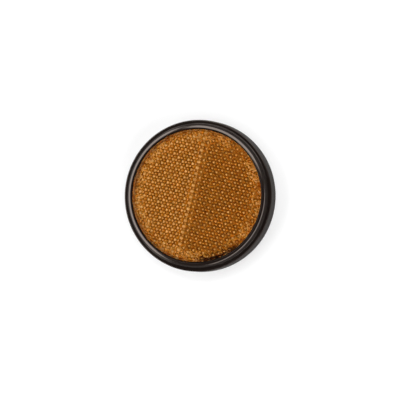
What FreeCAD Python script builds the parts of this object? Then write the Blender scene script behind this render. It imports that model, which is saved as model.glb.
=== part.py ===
"""Round amber reflector: a moulded housing, a prismatic lens and a foam adhesive pad.

The reflector lies on its pad with the lens facing up. The origin is the centre of the pad's lower
face, +Z points out of the lens and +Y runs beside the seam between the lens's two prism banks.
Sizes are in millimetres.
"""

import FreeCAD
import Part
import Sketcher
import math
import os

TOLERANCE = 1e-6

SIZES = {
    "lens_radius": 26.0,
    "lens_clearance": 0.1,
    "lens_edge": 0.25,
    "lens_plate": 2.0,
    "lens_skirt": 0.5,
    "lens_recess": 0.7,
    "prism_pitch": 2.36,
    "prism_tip_gap": 0.55,
    "seam_offset": 1.75,
    "lip_bevel": 0.7,
    "lip_crest": 1.2,
    "lip_chamfer": 0.6,
    "collar_height": 2.8,
    "collar_slope": 0.2,
    "shoulder_width": 1.65,
    "side_draft": 0.15,
    "side_wall": 1.8,
    "edge_chamfer": 0.5,
    "seat_width": 1.4,
    "seat_thickness": 1.8,
    "cavity_wall": 1.4,
    "cavity_depth": 2.6,
    "floor_thickness": 1.6,
    "back_land": 2.2,
    "pad_thickness": 1.0,
    "pad_recess": 0.4,
    "pad_clearance": 0.3,
}

# Radii, worked out from the lens outwards, as expressions on the sheet
BORE = "(sizes.lens_radius + sizes.lens_clearance)"
CREST_INNER = f"({BORE} + sizes.lip_bevel)"
CREST_OUTER = f"({CREST_INNER} + sizes.lip_crest)"
COLLAR_FOOT = f"({CREST_OUTER} + sizes.collar_slope)"
SHOULDER = f"({COLLAR_FOOT} + sizes.shoulder_width)"
BASE = f"({SHOULDER} + sizes.side_draft)"
CAVITY = f"({BORE} - sizes.seat_width)"
GROOVE_INNER = f"({CAVITY} + sizes.cavity_wall)"
GROOVE_OUTER = f"({BASE} - sizes.side_wall)"
RECESS = f"({GROOVE_INNER} - sizes.back_land)"
PAD = f"({RECESS} - sizes.pad_clearance)"
FIELD = "(sizes.lens_radius - sizes.lens_skirt)"

# Heights, worked out from the pad upwards
BACK_Z = "(sizes.pad_thickness - sizes.pad_recess)"
FLOOR_Z = "(sizes.pad_thickness + sizes.floor_thickness)"
SEAT_Z = f"({FLOOR_Z} + sizes.cavity_depth)"
GROOVE_Z = f"({SEAT_Z} - sizes.seat_thickness)"
TIP_Z = f"({SEAT_Z} + sizes.prism_tip_gap)"
FACE_Z = f"({TIP_Z} + 2 * sizes.prism_pitch / sqrt(6) + sizes.lens_plate)"
CREST_Z = f"({FACE_Z} + sizes.lens_recess)"
SHOULDER_Z = f"({CREST_Z} - sizes.collar_height)"

HOUSING_PROFILE = {
    "recess_centre": ("0", "sizes.pad_thickness"),
    "recess_corner": (RECESS, "sizes.pad_thickness"),
    "recess_mouth": (RECESS, BACK_Z),
    "groove_inner_mouth": (GROOVE_INNER, BACK_Z),
    "groove_inner_corner": (GROOVE_INNER, GROOVE_Z),
    "groove_outer_corner": (GROOVE_OUTER, GROOVE_Z),
    "groove_outer_mouth": (GROOVE_OUTER, BACK_Z),
    "back_edge": (BASE, BACK_Z),
    "shoulder_edge": (SHOULDER, SHOULDER_Z),
    "collar_foot": (COLLAR_FOOT, SHOULDER_Z),
    "crest_outer": (CREST_OUTER, CREST_Z),
    "crest_inner": (CREST_INNER, CREST_Z),
    "bevel_foot": (BORE, FACE_Z),
    "seat_outer": (BORE, SEAT_Z),
    "seat_inner": (CAVITY, SEAT_Z),
    "floor_corner": (CAVITY, FLOOR_Z),
    "floor_centre": ("0", FLOOR_Z),
}

LENS_PROFILE = {
    "seat_centre": ("0", SEAT_Z),
    "skirt_edge": ("sizes.lens_radius", SEAT_Z),
    "chamfer_foot": ("sizes.lens_radius", f"{FACE_Z} - sizes.lens_edge"),
    "chamfer_top": ("sizes.lens_radius - sizes.lens_edge", FACE_Z),
    "face_centre": ("0", FACE_Z),
}


def make_sheet(doc):
    sheet = doc.addObject("Spreadsheet::Sheet", "sizes")
    for row, (alias, value) in enumerate(SIZES.items(), start=1):
        sheet.set(f"A{row}", alias)
        sheet.set(f"B{row}", str(value))
        sheet.setAlias(f"B{row}", alias)
    doc.recompute()
    return sheet


def plane(body, role):
    return next(f for f in body.Origin.OriginFeatures if f.Role == role)


def turned_body(doc, name, profile):
    """A body turned about Z from a closed profile of named corners, each a radius and a height."""
    body = doc.addObject("PartDesign::Body", name)
    sketch = body.newObject("Sketcher::SketchObject", f"{name}_profile")
    sketch.AttachmentSupport = [(plane(body, "XZ_Plane"), "")]
    sketch.MapMode = "FlatFace"
    count = len(profile)
    ring = [
        FreeCAD.Vector(count + math.cos(turn), count + math.sin(turn), 0)
        for turn in (2 * math.pi * i / count for i in range(count))
    ]
    for i in range(count):
        sketch.addGeometry(Part.LineSegment(ring[i], ring[(i + 1) % count]))
    for i in range(count):
        sketch.addConstraint(Sketcher.Constraint("Coincident", i, 2, (i + 1) % count, 1))
    for i, (corner, (radius, height)) in enumerate(profile.items()):
        for axis, start, size in (("DistanceX", ring[i].x, radius), ("DistanceY", ring[i].y, height)):
            index = sketch.addConstraint(Sketcher.Constraint(axis, -1, 1, i, 1, start))
            sketch.renameConstraint(index, f"{corner}_{axis[-1]}")
            sketch.setExpression(f"Constraints.{corner}_{axis[-1]}", size)
    doc.recompute()
    turn = body.newObject("PartDesign::Revolution", f"{name}_turn")
    turn.Profile = sketch
    turn.ReferenceAxis = (sketch, ["V_Axis"])
    turn.Angle = 360
    doc.recompute()
    return body, sketch


def chamfer_corners(body, sketch, profile, corners, size):
    """Chamfers the ring edges that the named corners of the profile sweep."""
    base = body.Tip
    names = []
    for corner in corners:
        point = sketch.getPoint(list(profile).index(corner), 1)
        for number, edge in enumerate(base.Shape.Edges, start=1):
            if not isinstance(edge.Curve, Part.Circle):
                continue
            same_radius = abs(edge.Curve.Radius - point.x) < TOLERANCE
            same_height = abs(edge.Curve.Center.z - point.y) < TOLERANCE
            if same_radius and same_height:
                names.append(f"Edge{number}")
    chamfer = body.newObject("PartDesign::Chamfer", f"{body.Name}_{corners[0]}_chamfer")
    chamfer.Base = (base, names)
    chamfer.setExpression("Size", size)
    body.Document.recompute()


def make_housing(doc):
    body, sketch = turned_body(doc, "housing", HOUSING_PROFILE)
    chamfer_corners(body, sketch, HOUSING_PROFILE, ["back_edge", "shoulder_edge"], "sizes.edge_chamfer")
    chamfer_corners(body, sketch, HOUSING_PROFILE, ["crest_outer"], "sizes.lip_chamfer")
    return body


class PrismBank:
    """A honeycomb of cube corners, tips down, as the mould's pins leave it.

    The cells stand in columns along Y. The columns left and right of the seam have their cubes half
    a turn apart, so along it the cells' edges cross instead of meeting. The seam lies to the left of
    the lens's axis. Ridges are at height 0 and tips two steps below, where three square faces meet
    at right angles.
    """

    def __init__(self, pitch, radius, seam_offset):
        self.pitch = pitch
        self.corner_radius = pitch / math.sqrt(3)
        self.step = pitch / math.sqrt(6)
        self.column = pitch * math.sqrt(3) / 2
        self.seam_x = -seam_offset
        columns = math.ceil((radius + abs(seam_offset)) / self.column) + 1
        rows = math.ceil(radius / pitch) + 1
        reach = radius + pitch
        self.cells = {
            (column, row)
            for column in range(-columns, columns)
            for row in range(-2 * rows, 2 * rows + 1)
            if (column + row) % 2 == 0 and math.hypot(*self.centre((column, row))) < reach
        }

    def centre(self, cell):
        return self.seam_x + (cell[0] + 0.5) * self.column, cell[1] * self.pitch / 2

    def half_turn(self, cell):
        return cell[0] >= 0

    def corner(self, cell, turn):
        """Corner number turn of a cell's outline, anticlockwise from +X."""
        x, y = self.centre(cell)
        angle = math.radians(60 * turn)
        height = -self.step if (turn % 2 == 0) != self.half_turn(cell) else 0.0
        return FreeCAD.Vector(
            x + self.corner_radius * math.cos(angle), y + self.corner_radius * math.sin(angle), height
        )

    def neighbour(self, cell, side):
        """The cell across the side between corners side and side + 1."""
        steps = ((1, 1), (0, 2), (-1, 1), (-1, -1), (0, -2), (1, -1))
        return cell[0] + steps[side % 6][0], cell[1] + steps[side % 6][1]

    def crosses(self, cell, side):
        other = self.neighbour(cell, side)
        return other in self.cells and self.half_turn(other) != self.half_turn(cell)

    def side_points(self, cell, side):
        """A side's first corner, and the point where it crosses its neighbour's side, if it does."""
        first = self.corner(cell, side)
        if self.crosses(cell, side):
            return [first, (first + self.corner(cell, side + 1)) / 2]
        return [first]

    def cube_faces(self, cell):
        x, y = self.centre(cell)
        tip = FreeCAD.Vector(x, y, -2 * self.step)
        first = 1 if self.half_turn(cell) else 0
        for turn in range(first, first + 6, 2):
            outline = [tip]
            outline += self.side_points(cell, turn)
            outline += self.side_points(cell, turn + 1)
            outline.append(self.corner(cell, turn + 2))
            yield outline

    def seam_faces(self, cell):
        """The two upright slivers between a cell's side and the crossing side of its neighbour."""
        for side in range(6):
            if self.crosses(cell, side) and not self.half_turn(cell):
                first, last = self.corner(cell, side), self.corner(cell, side + 1)
                middle = (first + last) / 2
                for end, other in ((first, last), (last, first)):
                    yield [end, FreeCAD.Vector(end.x, end.y, other.z), middle]

    def rim_sides(self):
        for cell in sorted(self.cells):
            for side in range(6):
                if self.neighbour(cell, side) not in self.cells:
                    yield self.corner(cell, side), self.corner(cell, side + 1)

    def solid_below(self, depth):
        """The closed block between the cube corners and a flat floor at that depth."""
        outlines = []
        for cell in sorted(self.cells):
            outlines += self.cube_faces(cell)
            outlines += self.seam_faces(cell)
        floor_edges = []
        for first, last in self.rim_sides():
            low_first, low_last = (FreeCAD.Vector(p.x, p.y, -depth) for p in (first, last))
            outlines.append([first, last, low_last, low_first])
            floor_edges.append(Part.makeLine(low_first, low_last))
        faces = [Part.Face(Part.makePolygon(outline + outline[:1])) for outline in outlines]
        faces.append(Part.Face(Part.Wire(Part.__sortEdges__(floor_edges))))
        shell = Part.Shell(faces)
        shell.sewShape()
        solid = Part.Solid(shell)
        solid.fix(TOLERANCE, TOLERANCE, TOLERANCE)
        return solid


def make_lens(doc, sheet):
    blank, _ = turned_body(doc, "lens_blank", LENS_PROFILE)
    depth = 2 * sheet.prism_pitch / math.sqrt(6) + 2 * sheet.prism_tip_gap
    field_radius = sheet.lens_radius - sheet.lens_skirt

    bank = PrismBank(sheet.prism_pitch, field_radius, sheet.seam_offset)
    cubes = doc.addObject("Part::Feature", "prism_cubes")
    cubes.Shape = bank.solid_below(depth)
    cubes.setExpression("Placement.Base.z", f"{FACE_Z} - sizes.lens_plate")

    field = doc.addObject("Part::Cylinder", "prism_field")
    field.setExpression("Radius", FIELD)
    field.setExpression("Height", f"{FACE_Z} - {SEAT_Z} + sizes.prism_tip_gap")
    field.setExpression("Placement.Base.z", f"{SEAT_Z} - sizes.prism_tip_gap / 2")

    cavity = doc.addObject("Part::Common", "prism_cavity")
    cavity.Base = cubes
    cavity.Tool = field

    lens = doc.addObject("Part::Cut", "lens")
    lens.Base = blank
    lens.Tool = cavity
    lens.Refine = False
    doc.recompute()
    return lens


def make_pad(doc):
    pad = doc.addObject("Part::Cylinder", "adhesive_pad")
    pad.setExpression("Radius", PAD)
    pad.setExpression("Height", "sizes.pad_thickness")
    doc.recompute()
    return pad


def check(doc, pieces):
    for thing in doc.Objects:
        if "Invalid" in thing.State or "Error" in thing.State:
            raise RuntimeError(f"{thing.Name} failed: {thing.State}")
    for piece in pieces:
        if piece.Shape.isNull() or not piece.Shape.isValid():
            raise RuntimeError(f"{piece.Label} has no valid shape")
        if len(piece.Shape.Solids) != 1:
            raise RuntimeError(f"{piece.Label} is {len(piece.Shape.Solids)} solids, not one")


def main():
    doc = FreeCAD.newDocument("round_reflector")
    sheet = make_sheet(doc)
    pieces = [make_housing(doc), make_lens(doc, sheet), make_pad(doc)]
    doc.recompute()
    check(doc, pieces)
    os.makedirs("parts", exist_ok=True)
    for piece in pieces:
        piece.Shape.exportStep(os.path.join("parts", f"{piece.Label}.step"))
        box = piece.Shape.BoundBox
        print(
            f"{piece.Label}: {box.XLength:.2f} x {box.YLength:.2f} x {box.ZLength:.2f} mm, "
            f"z {box.ZMin:.2f} to {box.ZMax:.2f}, {piece.Shape.Volume:.1f} mm3, "
            f"{len(piece.Shape.Faces)} faces"
        )


main()
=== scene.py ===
import math

import bmesh
import bpy
from bpy.props import FloatProperty, FloatVectorProperty, IntProperty, PointerProperty
from mathutils import Matrix, Vector


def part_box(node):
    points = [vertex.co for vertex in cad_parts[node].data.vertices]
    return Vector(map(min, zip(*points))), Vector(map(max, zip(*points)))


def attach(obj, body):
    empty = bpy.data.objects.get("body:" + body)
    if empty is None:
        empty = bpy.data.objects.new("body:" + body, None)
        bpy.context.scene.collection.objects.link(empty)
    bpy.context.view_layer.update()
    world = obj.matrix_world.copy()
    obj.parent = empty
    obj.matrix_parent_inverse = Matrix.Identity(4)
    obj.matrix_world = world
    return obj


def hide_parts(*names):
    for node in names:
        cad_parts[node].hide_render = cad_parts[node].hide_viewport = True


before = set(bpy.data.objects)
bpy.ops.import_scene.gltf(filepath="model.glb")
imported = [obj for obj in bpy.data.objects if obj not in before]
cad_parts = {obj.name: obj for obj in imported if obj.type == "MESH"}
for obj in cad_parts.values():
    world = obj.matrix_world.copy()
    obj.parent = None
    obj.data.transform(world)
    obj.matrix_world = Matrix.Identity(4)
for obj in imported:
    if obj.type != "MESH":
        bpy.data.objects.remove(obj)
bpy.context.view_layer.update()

bl_info = {
    "name": "Round reflector",
    "version": (1, 0, 0),
    "blender": (4, 5, 0),
    "location": "View3D > Sidebar > Reflector",
    "description": "Builds a round amber reflector and its studio stage around the packed part",
    "category": "Object",
}

# Blender's unit is the metre.
MM = 0.001

# Points closer than this are one point.
MERGE = 0.0001 * MM
CAD_MERGE = 0.001 * MM

ABS_IOR = 1.53
ACRYLIC_IOR = 1.49


def linear(hex_colour):
    """An sRGB hex colour as linear red, green and blue."""
    parts = [int(hex_colour[i:i + 2], 16) / 255 for i in (1, 3, 5)]
    return tuple(c / 12.92 if c <= 0.04045 else ((c + 0.055) / 1.055) ** 2.4 for c in parts)


def length(name, description, size):
    """A property for a length, in metres."""
    return FloatProperty(name=name, description=description, default=size, unit="LENGTH", precision=5)


def angle(name, description, degrees):
    """A property for an angle, with its default in degrees."""
    return FloatProperty(name=name, description=description, default=math.radians(degrees), subtype="ANGLE")


def number(name, description, value):
    """A property for a plain number, such as a share or a level."""
    return FloatProperty(name=name, description=description, default=value)


def colour(name, description, hex_colour):
    """A property for a colour, with its default as sRGB hex."""
    return FloatVectorProperty(
        name=name,
        description=description,
        default=linear(hex_colour),
        subtype="COLOR",
        size=3,
        min=0,
        max=1,
    )


class HousingSizes(bpy.types.PropertyGroup):
    """The moulded housing's section, from the lens outwards and then down to the back."""

    bore: length("Bore", "Radius of the bore that holds the lens", 26.1 * MM)
    bevel: length("Lip bevel", "Width of the slope from the lip down to the lens", 0.5 * MM)
    crest: length("Lip crest", "Width of the lip's top", 1.4 * MM)
    lip_round: length("Lip rounding", "Radius of the lip's outer edge", 0.7 * MM)
    lip_fall: length("Lip fall", "How far the lip's top slopes down outwards", 0.34 * MM)
    lip_edge: length("Lip edge", "Radius of the lip's inner edge", 0.08 * MM)
    collar_slope: length("Collar slope", "How far the collar leans in", 0.2 * MM)
    collar_height: length("Collar height", "Height of the lip above the shoulder", 2.8 * MM)
    collar_fillet: length("Collar fillet", "Radius of the corner at the collar's foot", 0.3 * MM)
    shoulder: length("Shoulder", "Width of the flat ring round the collar", 1.65 * MM)
    edge_round: length("Edge rounding", "Radius of the shoulder's outer edge", 0.4 * MM)
    foot_round: length("Foot rounding", "Radius of the back's outer edge", 0.2 * MM)
    side_wall: length("Side wall", "Thickness of the side wall at the back", 1.8 * MM)
    seat: length("Seat", "Width of the ledge that carries the lens", 1.4 * MM)
    seat_gap: length("Seat gap", "Space below the lens, so that no two faces share a plane", 0.03 * MM)
    ledge: length("Ledge", "Thickness of that ledge", 1.8 * MM)
    cavity_wall: length("Cavity wall", "Thickness of the wall below the ledge", 1.4 * MM)
    floor: length("Floor", "Thickness of the back wall", 1.6 * MM)
    land: length("Land", "Width of the ring round the pad's recess", 2.2 * MM)
    inner_round: length("Inner rounding", "Radius of the edges at the back", 0.15 * MM)
    gloss_slope: angle("Gloss slope", "Steepest slope of the front that is polished", 35)
    steps: IntProperty(name="Steps", description="Facets round the rim", default=256, min=24)
    grain: length("Grain", "Size of the moulded grain as it is drawn", 0.4 * MM)
    body: colour("Housing", "Black of the moulded plastic", "#160f0c")
    sheen: colour("Housing sheen", "Tint of the plastic's gloss", "#ffeee4")


class LensSizes(bpy.types.PropertyGroup):
    """The places of the marks on the lens's prisms, and the lens's colours."""

    seam: length("Seam", "How far the seam lies to the left of the axis", 1.75 * MM)
    field: length("Field", "Radius of the prism field", 25.5 * MM)
    # The edge band is frosted in patches, and its specks' paleness is painted light.
    band: length("Edge band", "Width of the band of frosted patches at the field's edge", 4.5 * MM)
    wear: length("Wear", "Size of the areas that are more or less worn", 3 * MM)
    speck: length("Speck", "Size of the frosted specks and of the cut faces' flakes", 0.9 * MM)
    # The worn column is a dull, pale column beside the seam, whose paleness is painted light.
    column: length("Worn column", "Distance from the seam to the worn column at its left", 0.4 * MM)
    # Painted shade: the dark rim, its bearing and its reach place a stretch of the field's edge that is
    # painted dark.
    rim: length("Dark rim", "Width of the stretch of the field's edge that gives no light back", 1.2 * MM)
    shade_rim_bearing: angle("Rim bearing", "Bearing of the dark rim's middle from +X towards +Y", -57)
    shade_rim_reach: angle("Rim reach", "How far the dark rim reaches each way from its middle", 24)
    haze: number("Haze", "Share of light that the prisms' faces scatter", 0.18)
    band_haze: number("Edge haze", "Share of light that the edge band's faces scatter", 0.22)
    # Painted shade round the prisms' tips.
    painted_shade: number("Tip loss", "How much light is lost round the prisms' tips", 0.35)
    clear: colour("Clear amber", "What the plate lets through", "#fdd89f")
    mirror: colour("Mirror amber", "What each prism face gives back", "#fdd166")
    # The shaded amber is the colour of painted shade, round the tips and on the dark rim.
    shade: colour("Shaded amber", "Round the tips and on the dark rim, where light is lost", "#6b3e13")
    cut: colour("Cut amber", "The cut faces between their flakes", "#c07c34")
    # The dull amber is the pale painted glint on the corners, specks and flakes.
    dull: colour("Dull amber", "The worn corners, specks and flakes", "#fdf4e2")


class PadSizes(bpy.types.PropertyGroup):
    """The foam pad."""

    edge_round: length("Pad edge", "Radius of the die-cut edge", 0.12 * MM)
    cell: length("Foam cell", "Size of the foam's cells", 0.35 * MM)
    pit: length("Foam pit", "Depth of the cells' pits", 0.1 * MM)
    body: colour("Foam", "Grey of the foam", "#3a3a3c")
    # Painted shade: the cells' pits are painted darker than their walls.
    painted_wall_light: number("Cell wall light", "How many times lighter the cells' walls are", 2)


class StageSizes(bpy.types.PropertyGroup):
    """The camera's place, and the levels of the floor and the light."""

    tilt: angle("Tilt", "Camera's angle off the lens axis", 14.6)
    swing: angle("Swing", "Camera's bearing from +X towards +Y", 5)
    roll: angle("Roll", "Lean of the prism seam in the picture", 13)
    distance: length("Distance", "Camera to the back of the housing", 700 * MM)
    across: number("Across", "Back of the housing's centre, pixels from the left", 201.7)
    down: number("Down", "Back of the housing's centre, pixels from the top", 196.3)
    scale: number("Scale", "Pixels for each millimetre at the back of the housing", 2.522)
    lamp_distance: length("Lamp distance", "Lamps to the reflector", 800 * MM)
    zenith: number("Zenith", "Level of the light from straight above", 0.03)
    horizon: number("Horizon", "Level of the light from the sides", 0.3)
    floor_reach: length("Floor reach", "From the floor's middle to its edge", 3000 * MM)
    floor_white: number("Floor white", "Share of light that the floor gives back", 0.9)
    glow: number("Glow", "Share of the floor's white that doesn't take shadow", 0.5)


class ReflectorSettings(bpy.types.PropertyGroup):
    """All of the reflector's settings."""

    housing: PointerProperty(type=HousingSizes)
    lens: PointerProperty(type=LensSizes)
    pad: PointerProperty(type=PadSizes)
    stage: PointerProperty(type=StageSizes)


def settings():
    """The settings of the scene at work."""
    return bpy.context.scene.reflector


def add_node(tree, kind, inputs=None, **options):
    """Adds a node, sets its options, and sets or links its inputs by name or number.

    A node given as an input's value is linked by its first output in use.
    """
    made = tree.nodes.new(kind)
    for name, value in options.items():
        setattr(made, name, value)
    for name, value in (inputs or {}).items():
        if isinstance(value, bpy.types.Node):
            value = next(socket for socket in value.outputs if socket.enabled)
        if isinstance(value, bpy.types.NodeSocket):
            tree.links.new(value, made.inputs[name])
        else:
            made.inputs[name].default_value = value
    return made


def new_material(name):
    """An empty node material and its tree."""
    material = bpy.data.materials.new(name)
    material.use_nodes = True
    material.node_tree.nodes.clear()
    return material, material.node_tree


def black_abs(name, roughness, specular, grain_depth):
    """ABS, injection moulded: warm black, with the finish that its tool leaves.

    A polished tool gives the front a hard, narrow gloss. A spark-eroded one gives the side and back a
    fine grain, which spreads the light to an even dark grey. The bore round the lens stays matt. The
    grain is drawn coarser than the real one, so that it shows.
    """
    housing = settings().housing
    material, tree = new_material(name)
    place = add_node(tree, "ShaderNodeTexCoord").outputs["Object"]
    grain = add_node(
        tree, "ShaderNodeTexNoise", {"Vector": place, "Scale": 1 / housing.grain, "Detail": 3.0}
    )
    bump = add_node(tree, "ShaderNodeBump", {"Strength": 0.3, "Distance": grain_depth, "Height": grain})
    uneven = add_node(
        tree,
        "ShaderNodeMapRange",
        {"Value": grain, "To Min": 0.8 * roughness, "To Max": 1.2 * roughness},
    )
    shader = add_node(
        tree,
        "ShaderNodeBsdfPrincipled",
        {
            "Base Color": (*housing.body, 1),
            "Roughness": uneven,
            "IOR": ABS_IOR,
            "Specular IOR Level": specular,
            "Specular Tint": (*housing.sheen, 1),
            "Normal": bump,
        },
    )
    add_node(tree, "ShaderNodeOutputMaterial", {"Surface": shader})
    return material


def clear_acrylic():
    """Acrylic, moulded and polished: a clear amber plate with a hard gloss, which shows its prisms."""
    material, tree = new_material("amber_acrylic_clear")
    shader = add_node(
        tree,
        "ShaderNodeBsdfPrincipled",
        {
            "Base Color": (*settings().lens.clear, 1),
            "Roughness": 0.0,
            "IOR": ACRYLIC_IOR,
            "Transmission Weight": 1.0,
        },
    )
    add_node(tree, "ShaderNodeOutputMaterial", {"Surface": shader})
    return material


# The dull corners of the cubes, whose paleness is painted glint: the corner's colour in the layer
# "corners", where its mark starts and where it is full as shares of the way to the corner, and how dull
# and pale it is in the left and right banks.
CORNER_MARKS = (
    ("Red", 0.46, 0.62, 1.0, 0.0),
    ("Red", 0.58, 0.76, 1.0, 1.0),
    ("Green", 0.66, 0.84, 0.7, 0.35),
    ("Blue", 0.66, 0.84, 0.7, 0.35),
)

# How a pattern's value, or the way to a tip, becomes a mark: where the mark starts to grow, where it is
# full, and its level before it grows where that isn't zero.
WORN_AREAS = {"From Min": 0.35, "From Max": 0.6, "To Min": 0.7}
COLUMN_BEADS = {"From Min": 0.1, "From Max": 0.5, "To Min": 0.25}
BAND_PATCHES = {"From Min": 0.4, "From Max": 0.55, "To Min": 0.3}
BAND_LIT_SIDES = {"From Min": 0.05, "From Max": 0.3, "To Min": 0.3}
BAND_SPECKS = {"From Min": 0.5, "From Max": 0.56}
TIP_PAINTED_SHADE = {"From Min": 0.1, "From Max": 0.25}
CUT_FLAKE_GLINTS = {"From Min": 0.45, "From Max": 0.6}

# How strong the pale column of painted light at the seam's right is beside the one at its left.
RIGHT_COLUMN = 0.3

# The share of the radius that lies across, halfway between one of the band's four sides and the next.
BETWEEN_SIDES = 0.5

# How pale, as painted light, the frosted specks are beside the worn corners.
SPECK_PAINTED_LIGHT = 0.55

# What a face's dullness does: a bright one reflects all light, as a mirror does, and a dull one scatters it.
DULL_METALLIC = {"To Min": 1.0, "To Max": 0.0}
DULL_ROUGHNESS = {"To Min": 0.03, "To Max": 0.6}


def axis_distance(tree, place):
    """How far a point lies from the lens's axis."""
    flat = add_node(tree, "ShaderNodeVectorMath", {0: place, 1: (1, 1, 0)}, operation="MULTIPLY")
    return add_node(tree, "ShaderNodeVectorMath", {0: flat}, operation="LENGTH")


def painted_shade_rim(tree, place, radius):
    """One on the stretch of the field's edge that is painted dark, as painted shade, and zero elsewhere."""
    lens = settings().lens
    middle = (math.cos(lens.shade_rim_bearing), math.sin(lens.shade_rim_bearing), 0)
    nearness = add_node(tree, "ShaderNodeVectorMath", {0: place, 1: middle}, operation="DOT_PRODUCT")
    nearness = add_node(tree, "ShaderNodeMath", {0: nearness, 1: radius}, operation="DIVIDE")
    faint, full = math.cos(lens.shade_rim_reach), math.cos(lens.shade_rim_reach / 2)
    stretch = add_node(
        tree, "ShaderNodeMapRange", {"Value": nearness, "From Min": faint, "From Max": full}
    )
    inner = lens.field - lens.rim
    return add_node(
        tree,
        "ShaderNodeMapRange",
        {"Value": radius, "From Min": inner, "From Max": inner + lens.rim / 2, "To Max": stretch},
    )


def corner_glints_and_wear(tree, corners, left, areas):
    """The cubes' dull corners, more or less worn from one area to the next, whose paleness is painted glint.
    """
    glint_and_wear_spots = 0.0
    for corner, faint, full, left_level, right_level in CORNER_MARKS:
        level = add_node(
            tree, "ShaderNodeMapRange", {"Value": left, "To Min": right_level, "To Max": left_level}
        )
        spot = add_node(
            tree,
            "ShaderNodeMapRange",
            {"Value": corners[corner], "From Min": faint, "From Max": full, "To Max": level},
        )
        glint_and_wear_spots = add_node(tree, "ShaderNodeMath", {0: glint_and_wear_spots, 1: spot}, operation="MAXIMUM")
    wear = add_node(tree, "ShaderNodeMapRange", {"Value": areas, **WORN_AREAS})
    return add_node(tree, "ShaderNodeMath", {0: glint_and_wear_spots, 1: wear}, operation="MULTIPLY")


def painted_seam_light(tree, across, left, tips):
    """The dull, pale columns beside the seam, beaded by the tips: their paleness is painted light.

    One lies at the seam's left, and a fainter one three times as far from it at its right.
    """
    lens = settings().lens
    spread = 2 * lens.column
    offset = add_node(tree, "ShaderNodeMath", {0: across, 1: lens.seam - lens.column}, operation="ADD")
    offset = add_node(tree, "ShaderNodeMath", {0: offset}, operation="ABSOLUTE")
    offset = add_node(tree, "ShaderNodeMath", {0: offset, 1: spread}, operation="SUBTRACT")
    offset = add_node(tree, "ShaderNodeMath", {0: offset}, operation="ABSOLUTE")
    level = add_node(tree, "ShaderNodeMapRange", {"Value": left, "To Min": RIGHT_COLUMN, "To Max": 1.0})
    columns = add_node(
        tree,
        "ShaderNodeMapRange",
        {"Value": offset, "From Min": 0.0, "From Max": spread, "To Min": level, "To Max": 0.0},
    )
    beads = add_node(tree, "ShaderNodeMapRange", {"Value": tips, **COLUMN_BEADS})
    return add_node(tree, "ShaderNodeMath", {0: columns, 1: beads}, operation="MULTIPLY")


def painted_edge_band(tree, across, radius, areas):
    """The frosted band at the field's edge, in patches, strongest at the left, right, top and bottom: its
    pale specks are painted light.
    """
    lens = settings().lens
    inner = lens.field - lens.band
    band = add_node(
        tree,
        "ShaderNodeMapRange",
        {"Value": radius, "From Min": inner, "From Max": inner + lens.band / 2},
    )
    patches = add_node(tree, "ShaderNodeMapRange", {"Value": areas, **BAND_PATCHES})
    band = add_node(tree, "ShaderNodeMath", {0: band, 1: patches}, operation="MULTIPLY")
    sideways = add_node(tree, "ShaderNodeMath", {0: across}, operation="ABSOLUTE")
    sideways = add_node(tree, "ShaderNodeMath", {0: sideways, 1: radius}, operation="DIVIDE")
    sideways = add_node(tree, "ShaderNodeMath", {0: sideways, 1: BETWEEN_SIDES}, operation="SUBTRACT")
    sideways = add_node(tree, "ShaderNodeMath", {0: sideways}, operation="ABSOLUTE")
    sides = add_node(tree, "ShaderNodeMapRange", {"Value": sideways, **BAND_LIT_SIDES})
    return add_node(tree, "ShaderNodeMath", {0: band, 1: sides}, operation="MULTIPLY")


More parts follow.
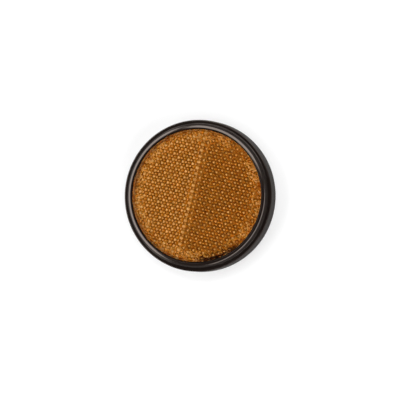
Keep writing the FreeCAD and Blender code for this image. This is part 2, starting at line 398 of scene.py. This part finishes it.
def prism_acrylic():
    """Acrylic with air behind it: each cube face mirrors light back amber, and what is worn is dull.

    The tips are the dullest and palest. The other corners are dull too, more so in the left bank, and
    the paleness of the corners is painted glint. Painted shade darkens the faces round the tips. Two
    columns beside the seam are dull and pale, their paleness painted light, and the band at the field's
    edge is frosted in specks that carry painted light. One stretch of that edge is painted dark, as
    painted shade.
    """
    lens = settings().lens
    material, tree = new_material("amber_acrylic_prisms")
    place = add_node(tree, "ShaderNodeTexCoord").outputs["Object"]
    across = add_node(tree, "ShaderNodeSeparateXYZ", {"Vector": place}).outputs["X"]
    radius = axis_distance(tree, place)
    layer = add_node(tree, "ShaderNodeAttribute", attribute_name="corners")
    corners = add_node(tree, "ShaderNodeSeparateColor", {"Color": layer}).outputs
    tips = corners["Red"]
    left = add_node(tree, "ShaderNodeMath", {0: across, 1: -lens.seam}, operation="LESS_THAN")
    areas = add_node(tree, "ShaderNodeTexNoise", {"Vector": place, "Scale": 1 / lens.wear, "Detail": 1.0})
    specks = add_node(tree, "ShaderNodeTexNoise", {"Vector": place, "Scale": 1 / lens.speck, "Detail": 2.0})
    specks = add_node(tree, "ShaderNodeMapRange", {"Value": specks, **BAND_SPECKS})

    glint_and_wear_spots = corner_glints_and_wear(tree, corners, left, areas)
    columns = painted_seam_light(tree, across, left, tips)
    worn = add_node(tree, "ShaderNodeMath", {0: glint_and_wear_spots, 1: columns}, operation="MAXIMUM")
    band = painted_edge_band(tree, across, radius, areas)
    frosted = add_node(tree, "ShaderNodeMath", {0: band, 1: specks}, operation="MULTIPLY")
    haze = add_node(tree, "ShaderNodeMath", {0: band, 1: lens.band_haze}, operation="MULTIPLY")
    haze = add_node(tree, "ShaderNodeMath", {0: haze, 1: lens.haze}, operation="MAXIMUM")
    dullness = add_node(tree, "ShaderNodeMath", {0: worn, 1: frosted}, operation="MAXIMUM")
    dullness = add_node(tree, "ShaderNodeMapRange", {"Value": dullness, "To Min": haze})

    # Painted shade round the tips darkens the mirror amber towards the shaded amber.
    painted_shade = add_node(tree, "ShaderNodeMapRange", {"Value": tips, **TIP_PAINTED_SHADE, "To Max": lens.painted_shade})
    # Painted shade on the dark rim joins the painted shade round the tips.
    rim = painted_shade_rim(tree, place, radius)
    painted_shade = add_node(tree, "ShaderNodeMath", {0: painted_shade, 1: rim}, operation="MAXIMUM")
    mirror = add_node(
        tree,
        "ShaderNodeMix",
        {"Factor": painted_shade, "A": (*lens.mirror, 1), "B": (*lens.shade, 1)},
        data_type="RGBA",
    )
    # The paleness of the corners, the seam's columns and the band's specks is painted light.
    painted_speck_light = add_node(tree, "ShaderNodeMath", {0: frosted, 1: SPECK_PAINTED_LIGHT}, operation="MULTIPLY")
    painted_light = add_node(tree, "ShaderNodeMath", {0: worn, 1: painted_speck_light}, operation="MAXIMUM")
    tone = add_node(
        tree, "ShaderNodeMix", {"Factor": painted_light, "A": mirror, "B": (*lens.dull, 1)}, data_type="RGBA"
    )
    metallic = add_node(tree, "ShaderNodeMapRange", {"Value": dullness, **DULL_METALLIC})
    rough = add_node(tree, "ShaderNodeMapRange", {"Value": dullness, **DULL_ROUGHNESS})
    shader = add_node(
        tree, "ShaderNodeBsdfPrincipled", {"Base Color": tone, "Metallic": metallic, "Roughness": rough}
    )
    add_node(tree, "ShaderNodeOutputMaterial", {"Surface": shader})
    return material


def cut_acrylic():
    """Amber acrylic without polish, on the seam's upright faces and the skirt: amber with pale flakes of
    painted glint, and painted shade on the dark rim.
    """
    lens = settings().lens
    material, tree = new_material("amber_acrylic_cut")
    place = add_node(tree, "ShaderNodeTexCoord").outputs["Object"]
    flakes = add_node(tree, "ShaderNodeTexNoise", {"Vector": place, "Scale": 1 / lens.speck, "Detail": 3.0})
    flakes = add_node(tree, "ShaderNodeMapRange", {"Value": flakes, **CUT_FLAKE_GLINTS})
    tone = add_node(
        tree,
        "ShaderNodeMix",
        {"Factor": flakes, "A": (*lens.cut, 1), "B": (*lens.dull, 1)},
        data_type="RGBA",
    )
    # Painted shade on the dark rim.
    rim = painted_shade_rim(tree, place, axis_distance(tree, place))
    tone = add_node(
        tree, "ShaderNodeMix", {"Factor": rim, "A": tone, "B": (*lens.shade, 1)}, data_type="RGBA"
    )
    shader = add_node(tree, "ShaderNodeBsdfPrincipled", {"Base Color": tone, "Roughness": 0.5})
    add_node(tree, "ShaderNodeOutputMaterial", {"Surface": shader})
    return material


def acrylic_foam():
    """Acrylic foam tape, die-cut: matt dark grey, with the fine pits of its closed cells, painted darker
    than the cells' walls as painted shade.
    """
    pad = settings().pad
    wall = [pad.painted_wall_light * c for c in pad.body]
    material, tree = new_material("acrylic_foam")
    place = add_node(tree, "ShaderNodeTexCoord").outputs["Object"]
    cells = add_node(tree, "ShaderNodeTexVoronoi", {"Vector": place, "Scale": 1 / pad.cell})
    bump = add_node(tree, "ShaderNodeBump", {"Strength": 0.5, "Distance": pad.pit, "Height": cells})
    # Painted shade: the pits darker, the cells' walls lighter.
    tone = add_node(
        tree, "ShaderNodeMix", {"Factor": cells, "A": (*pad.body, 1), "B": (*wall, 1)}, data_type="RGBA"
    )
    shader = add_node(
        tree, "ShaderNodeBsdfPrincipled", {"Base Color": tone, "Roughness": 0.8, "Normal": bump}
    )
    add_node(tree, "ShaderNodeOutputMaterial", {"Surface": shader})
    return material


def link_piece(name, bm, materials, node, smooth_degrees=30):
    """Closes a bmesh into a piece that rides on the part's body and stands for a node."""
    mesh = bpy.data.meshes.new(name)
    bm.to_mesh(mesh)
    bm.free()
    for material in materials:
        mesh.materials.append(material)
    mesh.polygons.foreach_set("use_smooth", [True] * len(mesh.polygons))
    mesh.set_sharp_from_angle(angle=math.radians(smooth_degrees))
    piece = bpy.data.objects.new(name, mesh)
    bpy.context.scene.collection.objects.link(piece)
    # Large flat faces keep their own normals beside rounded edges.
    weights = piece.modifiers.new("true_flats", "WEIGHTED_NORMAL")
    weights.keep_sharp = True
    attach(piece, "root")
    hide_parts(node)
    return piece


# Facets across each rounded corner of a section.
ROUND_SEGMENTS = 6


def turn_section(corners, steps):
    """A closed ring turned about Z from a section of (radius, height, rounding) corners."""
    bm = bmesh.new()
    points = [bm.verts.new((radius, 0, height)) for radius, height, _ in corners]
    for first, last in zip(points, points[1:] + points[:1]):
        bm.edges.new((first, last))
    for size in sorted({rounding for _, _, rounding in corners if rounding}):
        bmesh.ops.bevel(
            bm,
            geom=[point for point, corner in zip(points, corners) if corner[2] == size],
            offset=size,
            segments=ROUND_SEGMENTS,
            profile=0.5,
            affect="VERTICES",
            material=-1,
        )
    bmesh.ops.spin(
        bm, geom=bm.verts[:] + bm.edges[:], axis=(0, 0, 1), angle=math.tau, steps=steps, use_merge=True
    )
    bmesh.ops.remove_doubles(bm, verts=bm.verts, dist=MERGE)
    bmesh.ops.dissolve_degenerate(bm, edges=bm.edges, dist=MERGE)
    bmesh.ops.recalc_face_normals(bm, faces=bm.faces)
    return bm


# The housing's finishes, by material slot.
POLISHED, GRAINED, MATT = range(3)

# A face whose normal points down more than this belongs to the back.
FACING_DOWN = -0.1


class REFLECTOR_OT_housing(bpy.types.Operator):
    """Turns the black moulded housing"""

    bl_idname = "reflector.housing"
    bl_label = "Housing"

    def execute(self, context):
        size = settings().housing
        low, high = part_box("housing")
        lens_low, lens_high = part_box("lens")
        pad_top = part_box("adhesive_pad")[1].z
        crest_inner = size.bore + size.bevel
        crest_outer = crest_inner + size.crest
        foot = crest_outer + size.collar_slope
        shoulder = foot + size.shoulder
        base = high.x
        cavity = size.bore - size.seat
        groove_inner = cavity + size.cavity_wall
        groove_outer = base - size.side_wall
        recess = groove_inner - size.land
        seat_z = lens_low.z - size.seat_gap
        floor_z = pad_top + size.floor
        groove_z = seat_z - size.ledge
        shoulder_z = high.z - size.collar_height
        corners = [
            (0, pad_top, 0),
            (recess, pad_top, size.inner_round),
            (recess, low.z, size.inner_round),
            (groove_inner, low.z, size.inner_round),
            (groove_inner, groove_z, size.inner_round),
            (groove_outer, groove_z, size.inner_round),
            (groove_outer, low.z, size.inner_round),
            (base, low.z, size.foot_round),
            (shoulder, shoulder_z, size.edge_round),
            (foot, shoulder_z, size.collar_fillet),
            (crest_outer, high.z - size.lip_fall, size.lip_round),
            (crest_inner, high.z, size.lip_edge),
            (size.bore, lens_high.z, 0),
            (size.bore, seat_z, 0),
            (cavity, seat_z, 0),
            (cavity, floor_z, 0),
            (0, floor_z, 0),
        ]
        bm = turn_section(corners, size.steps)
        for face in bm.faces:
            centre = face.calc_center_median()
            on_front = centre.z > shoulder_z - size.edge_round
            glossy = on_front and face.normal.z > math.cos(size.gloss_slope)
            in_bore = centre.to_2d().length < crest_inner and face.normal.z > FACING_DOWN
            face.material_index = MATT if in_bore else POLISHED if glossy else GRAINED
        materials = [
            black_abs("black_abs_polished", roughness=0.12, specular=0.8, grain_depth=0.001 * MM),
            black_abs("black_abs_grained", roughness=0.65, specular=0.22, grain_depth=0.05 * MM),
            black_abs("black_abs_matt", roughness=0.8, specular=0.08, grain_depth=0.02 * MM),
        ]
        link_piece("housing_shell", bm, materials, "housing")
        return {"FINISHED"}


# The lens's finishes, by material slot.
CLEAR, PRISM, CUT = range(3)

# The height of a cube face's unit normal, which points down, and how far a mesh face may be off it.
CUBE_NORMAL = -1 / math.sqrt(3)
CUBE_SLACK = 0.03

# How far an upright or level face's normal may be off.
FLAT_SLACK = 0.01

# The cubes' corners as shares of the prisms' height, and how far a point may be off.
CORNER_LEVELS = (0, 0.5, 1)
LEVEL_SLACK = 0.01

# Cuts along each prism edge, for the grid that carries the corners' fading marks.
GRID_CUTS = 3

# Faces flatter to each other than this become one before the grid is cut.
ONE_FACE_ANGLE = math.radians(0.5)

# Prism faces meet at sharp edges, and the facets round the lens's edge are blended.
LENS_SMOOTH_DEGREES = 5


def finish_prisms(bm):
    """Sorts the lens's faces by finish and marks the cubes' corners on a fine grid.

    The colour layer "corners" is red at the cubes' tips, green at the corners half way up and blue
    at the corners between three cubes, and fades along the faces.
    """
    marks = bm.verts.layers.float_color.new("corners")
    prisms = [f for f in bm.faces if abs(f.normal.z - CUBE_NORMAL) < CUBE_SLACK]
    for face in bm.faces:
        upright = abs(face.normal.z) < FLAT_SLACK
        on_seat = face.normal.z < FLAT_SLACK - 1
        if upright or on_seat:
            face.material_index = CUT
    heights = [v.co.z for f in prisms for v in f.verts]
    low, high = min(heights), max(heights)
    for vert in {v for f in prisms for v in f.verts}:
        share = (vert.co.z - low) / (high - low)
        vert[marks] = (*(float(abs(share - level) < LEVEL_SLACK) for level in CORNER_LEVELS), 1.0)
    for face in prisms:
        face.material_index = PRISM
    edges = {e for f in prisms for e in f.edges}
    bmesh.ops.subdivide_edges(bm, edges=list(edges), cuts=GRID_CUTS, use_grid_fill=True)
    many_sided = [f for f in bm.faces if len(f.verts) > 4]
    bmesh.ops.triangulate(bm, faces=many_sided, ngon_method="BEAUTY")


class REFLECTOR_OT_lens(bpy.types.Operator):
    """Finishes the amber prismatic lens"""

    bl_idname = "reflector.lens"
    bl_label = "Lens"

    def execute(self, context):
        bm = bmesh.new()
        bm.from_mesh(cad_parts["lens"].data)
        # In metres the triangulation takes faces of this size for empty ones, so it works in millimetres.
        bmesh.ops.scale(bm, vec=(1 / MM, 1 / MM, 1 / MM), verts=bm.verts)
        bmesh.ops.remove_doubles(bm, verts=bm.verts, dist=CAD_MERGE / MM)
        bmesh.ops.dissolve_limit(bm, angle_limit=ONE_FACE_ANGLE, verts=bm.verts, edges=bm.edges)
        finish_prisms(bm)
        bmesh.ops.scale(bm, vec=(MM, MM, MM), verts=bm.verts)
        materials = [clear_acrylic(), prism_acrylic(), cut_acrylic()]
        link_piece("prism_lens", bm, materials, "lens", smooth_degrees=LENS_SMOOTH_DEGREES)
        return {"FINISHED"}


class REFLECTOR_OT_pad(bpy.types.Operator):
    """Cuts the foam adhesive pad"""

    bl_idname = "reflector.pad"
    bl_label = "Adhesive pad"

    def execute(self, context):
        size = settings().pad
        low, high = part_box("adhesive_pad")
        corners = [
            (0, low.z, 0),
            (high.x, low.z, size.edge_round),
            (high.x, high.z, size.edge_round),
            (0, high.z, 0),
        ]
        bm = turn_section(corners, settings().housing.steps)
        piece = link_piece("foam_pad", bm, [acrylic_foam()], "adhesive_pad")
        return {"FINISHED"}


# The picture's width and height in pixels, the camera sensor's width in millimetres, and the nearest and
# furthest that the camera sees.
PHOTO_SIZE = 400
SENSOR = 36.0
NEAREST = 1 * MM
FURTHEST = 10000 * MM


def add_camera():
    """A camera at the photograph's angle, aimed so that the housing's back lies where it does there."""
    stage = settings().stage
    away = Vector(
        (
            math.sin(stage.tilt) * math.cos(stage.swing),
            math.sin(stage.tilt) * math.sin(stage.swing),
            math.cos(stage.tilt),
        )
    )
    seam = Vector((0, 1, 0))
    seam_up = (seam - seam.dot(away) * away).normalized()
    seam_right = seam_up.cross(away)
    up = math.cos(stage.roll) * seam_up - math.sin(stage.roll) * seam_right
    right = math.cos(stage.roll) * seam_right + math.sin(stage.roll) * seam_up
    pixel = MM / stage.scale
    back_centre = Vector((0, 0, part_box("housing")[0].z))
    middle = PHOTO_SIZE / 2
    aim = back_centre - (stage.across - middle) * pixel * right + (stage.down - middle) * pixel * up
    camera = bpy.data.cameras.new("camera")
    camera.sensor_width = SENSOR
    camera.lens = stage.distance / pixel / PHOTO_SIZE * SENSOR
    camera.clip_start = NEAREST
    camera.clip_end = FURTHEST
    holder = bpy.data.objects.new("camera", camera)
    bpy.context.scene.collection.objects.link(holder)
    turned = Matrix((right, up, away)).transposed().to_4x4()
    holder.matrix_world = Matrix.Translation(aim + away * stage.distance) @ turned
    bpy.context.scene.camera = holder


def add_lamp(name, bearing, height, wide, tall, power):
    """A softbox at a bearing from +X and a height above the floor, in degrees, aimed at the lens.

    Its width and its other side are in metres and its power in watts.
    """
    lamp = bpy.data.lights.new(name, "AREA")
    lamp.shape = "RECTANGLE"
    lamp.size = wide
    lamp.size_y = tall
    lamp.energy = power
    holder = bpy.data.objects.new(name, lamp)
    bpy.context.scene.collection.objects.link(holder)
    around, above = math.radians(bearing), math.radians(height)
    direction = Vector(
        (math.cos(above) * math.cos(around), math.cos(above) * math.sin(around), math.sin(above))
    )
    holder.location = settings().stage.lamp_distance * direction
    holder.rotation_euler = direction.to_track_quat("Z", "Y").to_euler()


def add_world():
    """White light from all round, weak from straight above and stronger from the sides."""
    stage = settings().stage
    world = bpy.data.worlds.new("studio")
    bpy.context.scene.world = world
    world.use_nodes = True
    tree = world.node_tree
    tree.nodes.clear()
    direction = add_node(tree, "ShaderNodeTexCoord").outputs["Generated"]
    upwards = add_node(tree, "ShaderNodeSeparateXYZ", {"Vector": direction}).outputs["Z"]
    level = add_node(
        tree, "ShaderNodeMapRange", {"Value": upwards, "To Min": stage.horizon, "To Max": stage.zenith}
    )
    light = add_node(tree, "ShaderNodeBackground", {"Color": (1, 1, 1, 1), "Strength": level})
    add_node(tree, "ShaderNodeOutputWorld", {"Surface": light})


def white_sweep():
    """Matt white card: it glows for the eye in one share, and takes the shadow in the other."""
    stage = settings().stage
    material, tree = new_material("white_sweep")
    card = add_node(tree, "ShaderNodeBsdfDiffuse", {"Color": (*[stage.floor_white] * 3, 1)})
    glow = add_node(tree, "ShaderNodeEmission", {"Color": (1, 1, 1, 1), "Strength": 1.0})
    path = add_node(tree, "ShaderNodeLightPath").outputs
    seen = path["Is Camera Ray"]
    for ray in ("Is Glossy Ray", "Is Transmission Ray"):
        seen = add_node(tree, "ShaderNodeMath", {0: seen, 1: path[ray]}, operation="MAXIMUM")
    share = add_node(tree, "ShaderNodeMath", {0: seen, 1: stage.glow}, operation="MULTIPLY")
    mixed = add_node(tree, "ShaderNodeMixShader", {0: share, 1: card, 2: glow})
    add_node(tree, "ShaderNodeOutputMaterial", {"Surface": mixed})
    return material


def add_floor():
    """The pale floor that the reflector lies on."""
    bm = bmesh.new()
    bmesh.ops.create_grid(bm, x_segments=1, y_segments=1, size=settings().stage.floor_reach)
    mesh = bpy.data.meshes.new("floor")
    bm.to_mesh(mesh)
    bm.free()
    mesh.materials.append(white_sweep())
    floor = bpy.data.objects.new("floor", mesh)
    bpy.context.scene.collection.objects.link(floor)


class REFLECTOR_OT_stage(bpy.types.Operator):
    """Sets the floor, the studio light and the camera"""

    bl_idname = "reflector.stage"
    bl_label = "Stage"

    def execute(self, context):
        context.scene.view_settings.view_transform = "Standard"
        add_floor()
        add_world()
        add_lamp("key_softbox", bearing=187, height=47, wide=1.4, tall=0.4, power=6.6)
        add_lamp("top_softbox", bearing=90, height=58, wide=0.7, tall=0.4, power=3.2)
        add_lamp("fill_softbox", bearing=-30, height=38, wide=1.5, tall=0.3, power=7.1)
        add_camera()
        return {"FINISHED"}


class REFLECTOR_PT_panel(bpy.types.Panel):
    """The reflector's pieces, in the 3D view's sidebar"""

    bl_label = "Round reflector"
    bl_idname = "REFLECTOR_PT_panel"
    bl_space_type = "VIEW_3D"
    bl_region_type = "UI"
    bl_category = "Reflector"

    def draw(self, context):
        for operator in OPERATORS:
            self.layout.operator(operator.bl_idname)


OPERATORS = (REFLECTOR_OT_housing, REFLECTOR_OT_lens, REFLECTOR_OT_pad, REFLECTOR_OT_stage)
GROUPS = (HousingSizes, LensSizes, PadSizes, StageSizes, ReflectorSettings)
CLASSES = (*GROUPS, *OPERATORS, REFLECTOR_PT_panel)


def register():
    """Adds the settings, the operators and the panel to Blender."""
    for cls in CLASSES:
        bpy.utils.register_class(cls)
    bpy.types.Scene.reflector = PointerProperty(type=ReflectorSettings)


def unregister():
    """Takes them away again."""
    del bpy.types.Scene.reflector
    for cls in reversed(CLASSES):
        bpy.utils.unregister_class(cls)


def main():
    """Builds the reflector on its stage."""
    register()
    bpy.ops.reflector.housing()
    bpy.ops.reflector.lens()
    bpy.ops.reflector.pad()
    bpy.ops.reflector.stage()


if __name__ == "__main__":
    main()
